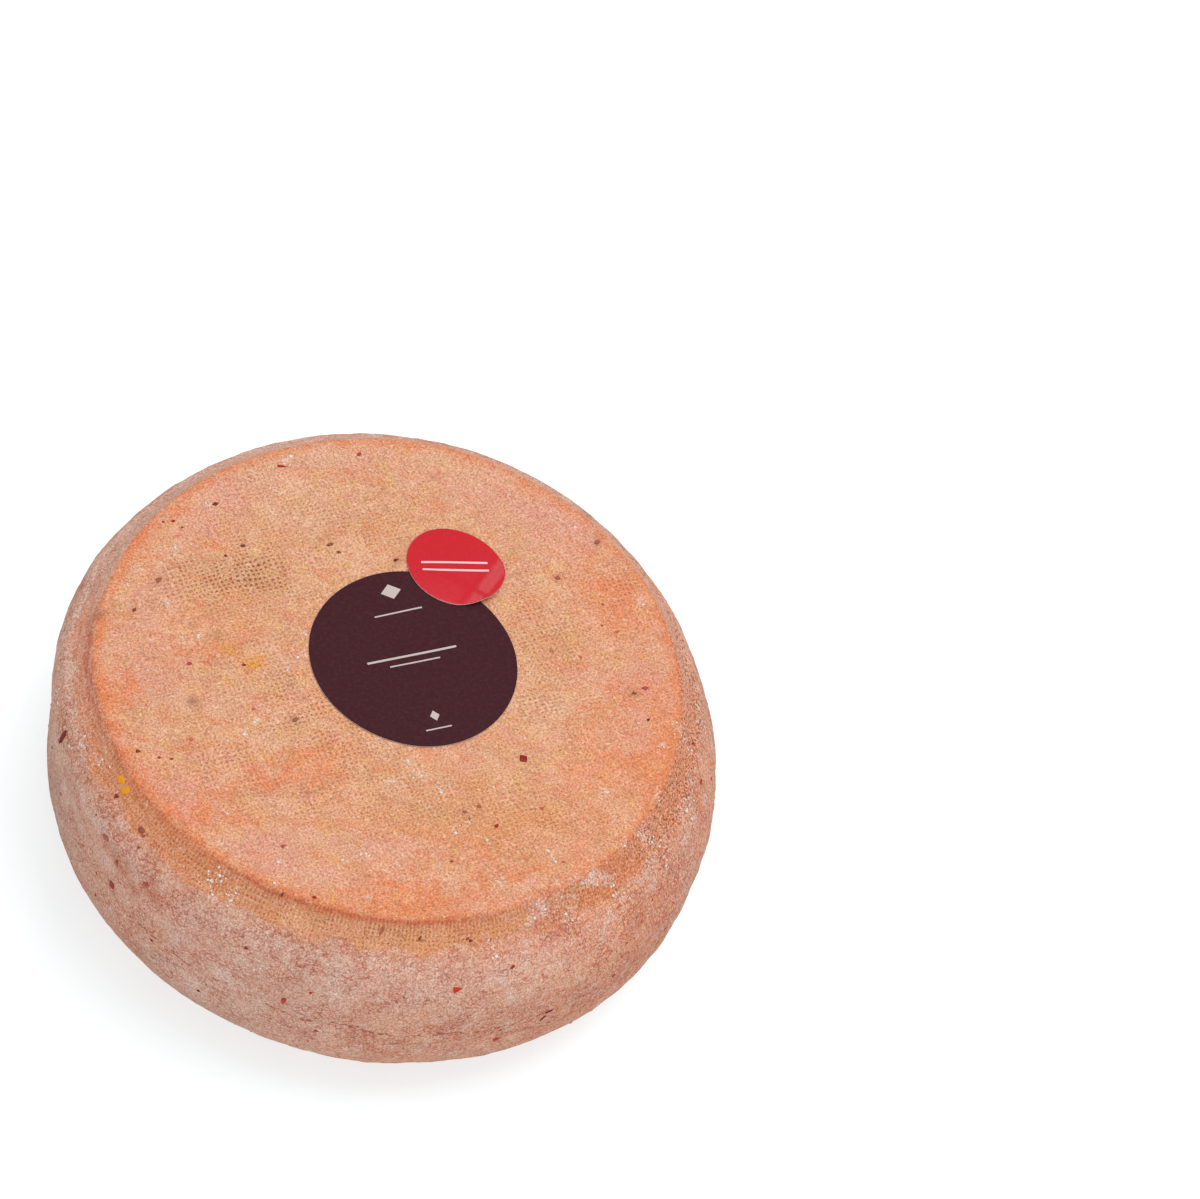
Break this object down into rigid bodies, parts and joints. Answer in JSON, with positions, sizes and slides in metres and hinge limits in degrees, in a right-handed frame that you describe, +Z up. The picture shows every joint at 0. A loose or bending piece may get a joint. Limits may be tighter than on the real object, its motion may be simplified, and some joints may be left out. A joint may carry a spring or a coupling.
{
  "type": "cheese wheel",
  "caption": "Small round cheese wheel with bulging sides, a washed pinkish-orange rind with chilli flakes, a round brown label and a small round red sticker on top.",
  "frame": {"origin": "centre of the flat face that the wheel rests on, which is also its lowest plane", "axes": "+Z up through the wheel's middle, -Y towards the viewer of the picture, +X to the viewer's right"},
  "size_m": [0.2261, 0.2286, 0.0876],
  "materials": {
    "rind": "matte washed rind with a thin pale bloom",
    "brown_paper": "smooth matte printed paper",
    "red_paper": "semi-gloss printed paper with a white cut edge"
  },
  "bodies": {
    "root": {"cheese_wheel": "rind", "round_label": "brown_paper", "round_sticker": "red_paper"}
  },
  "joints": []
}
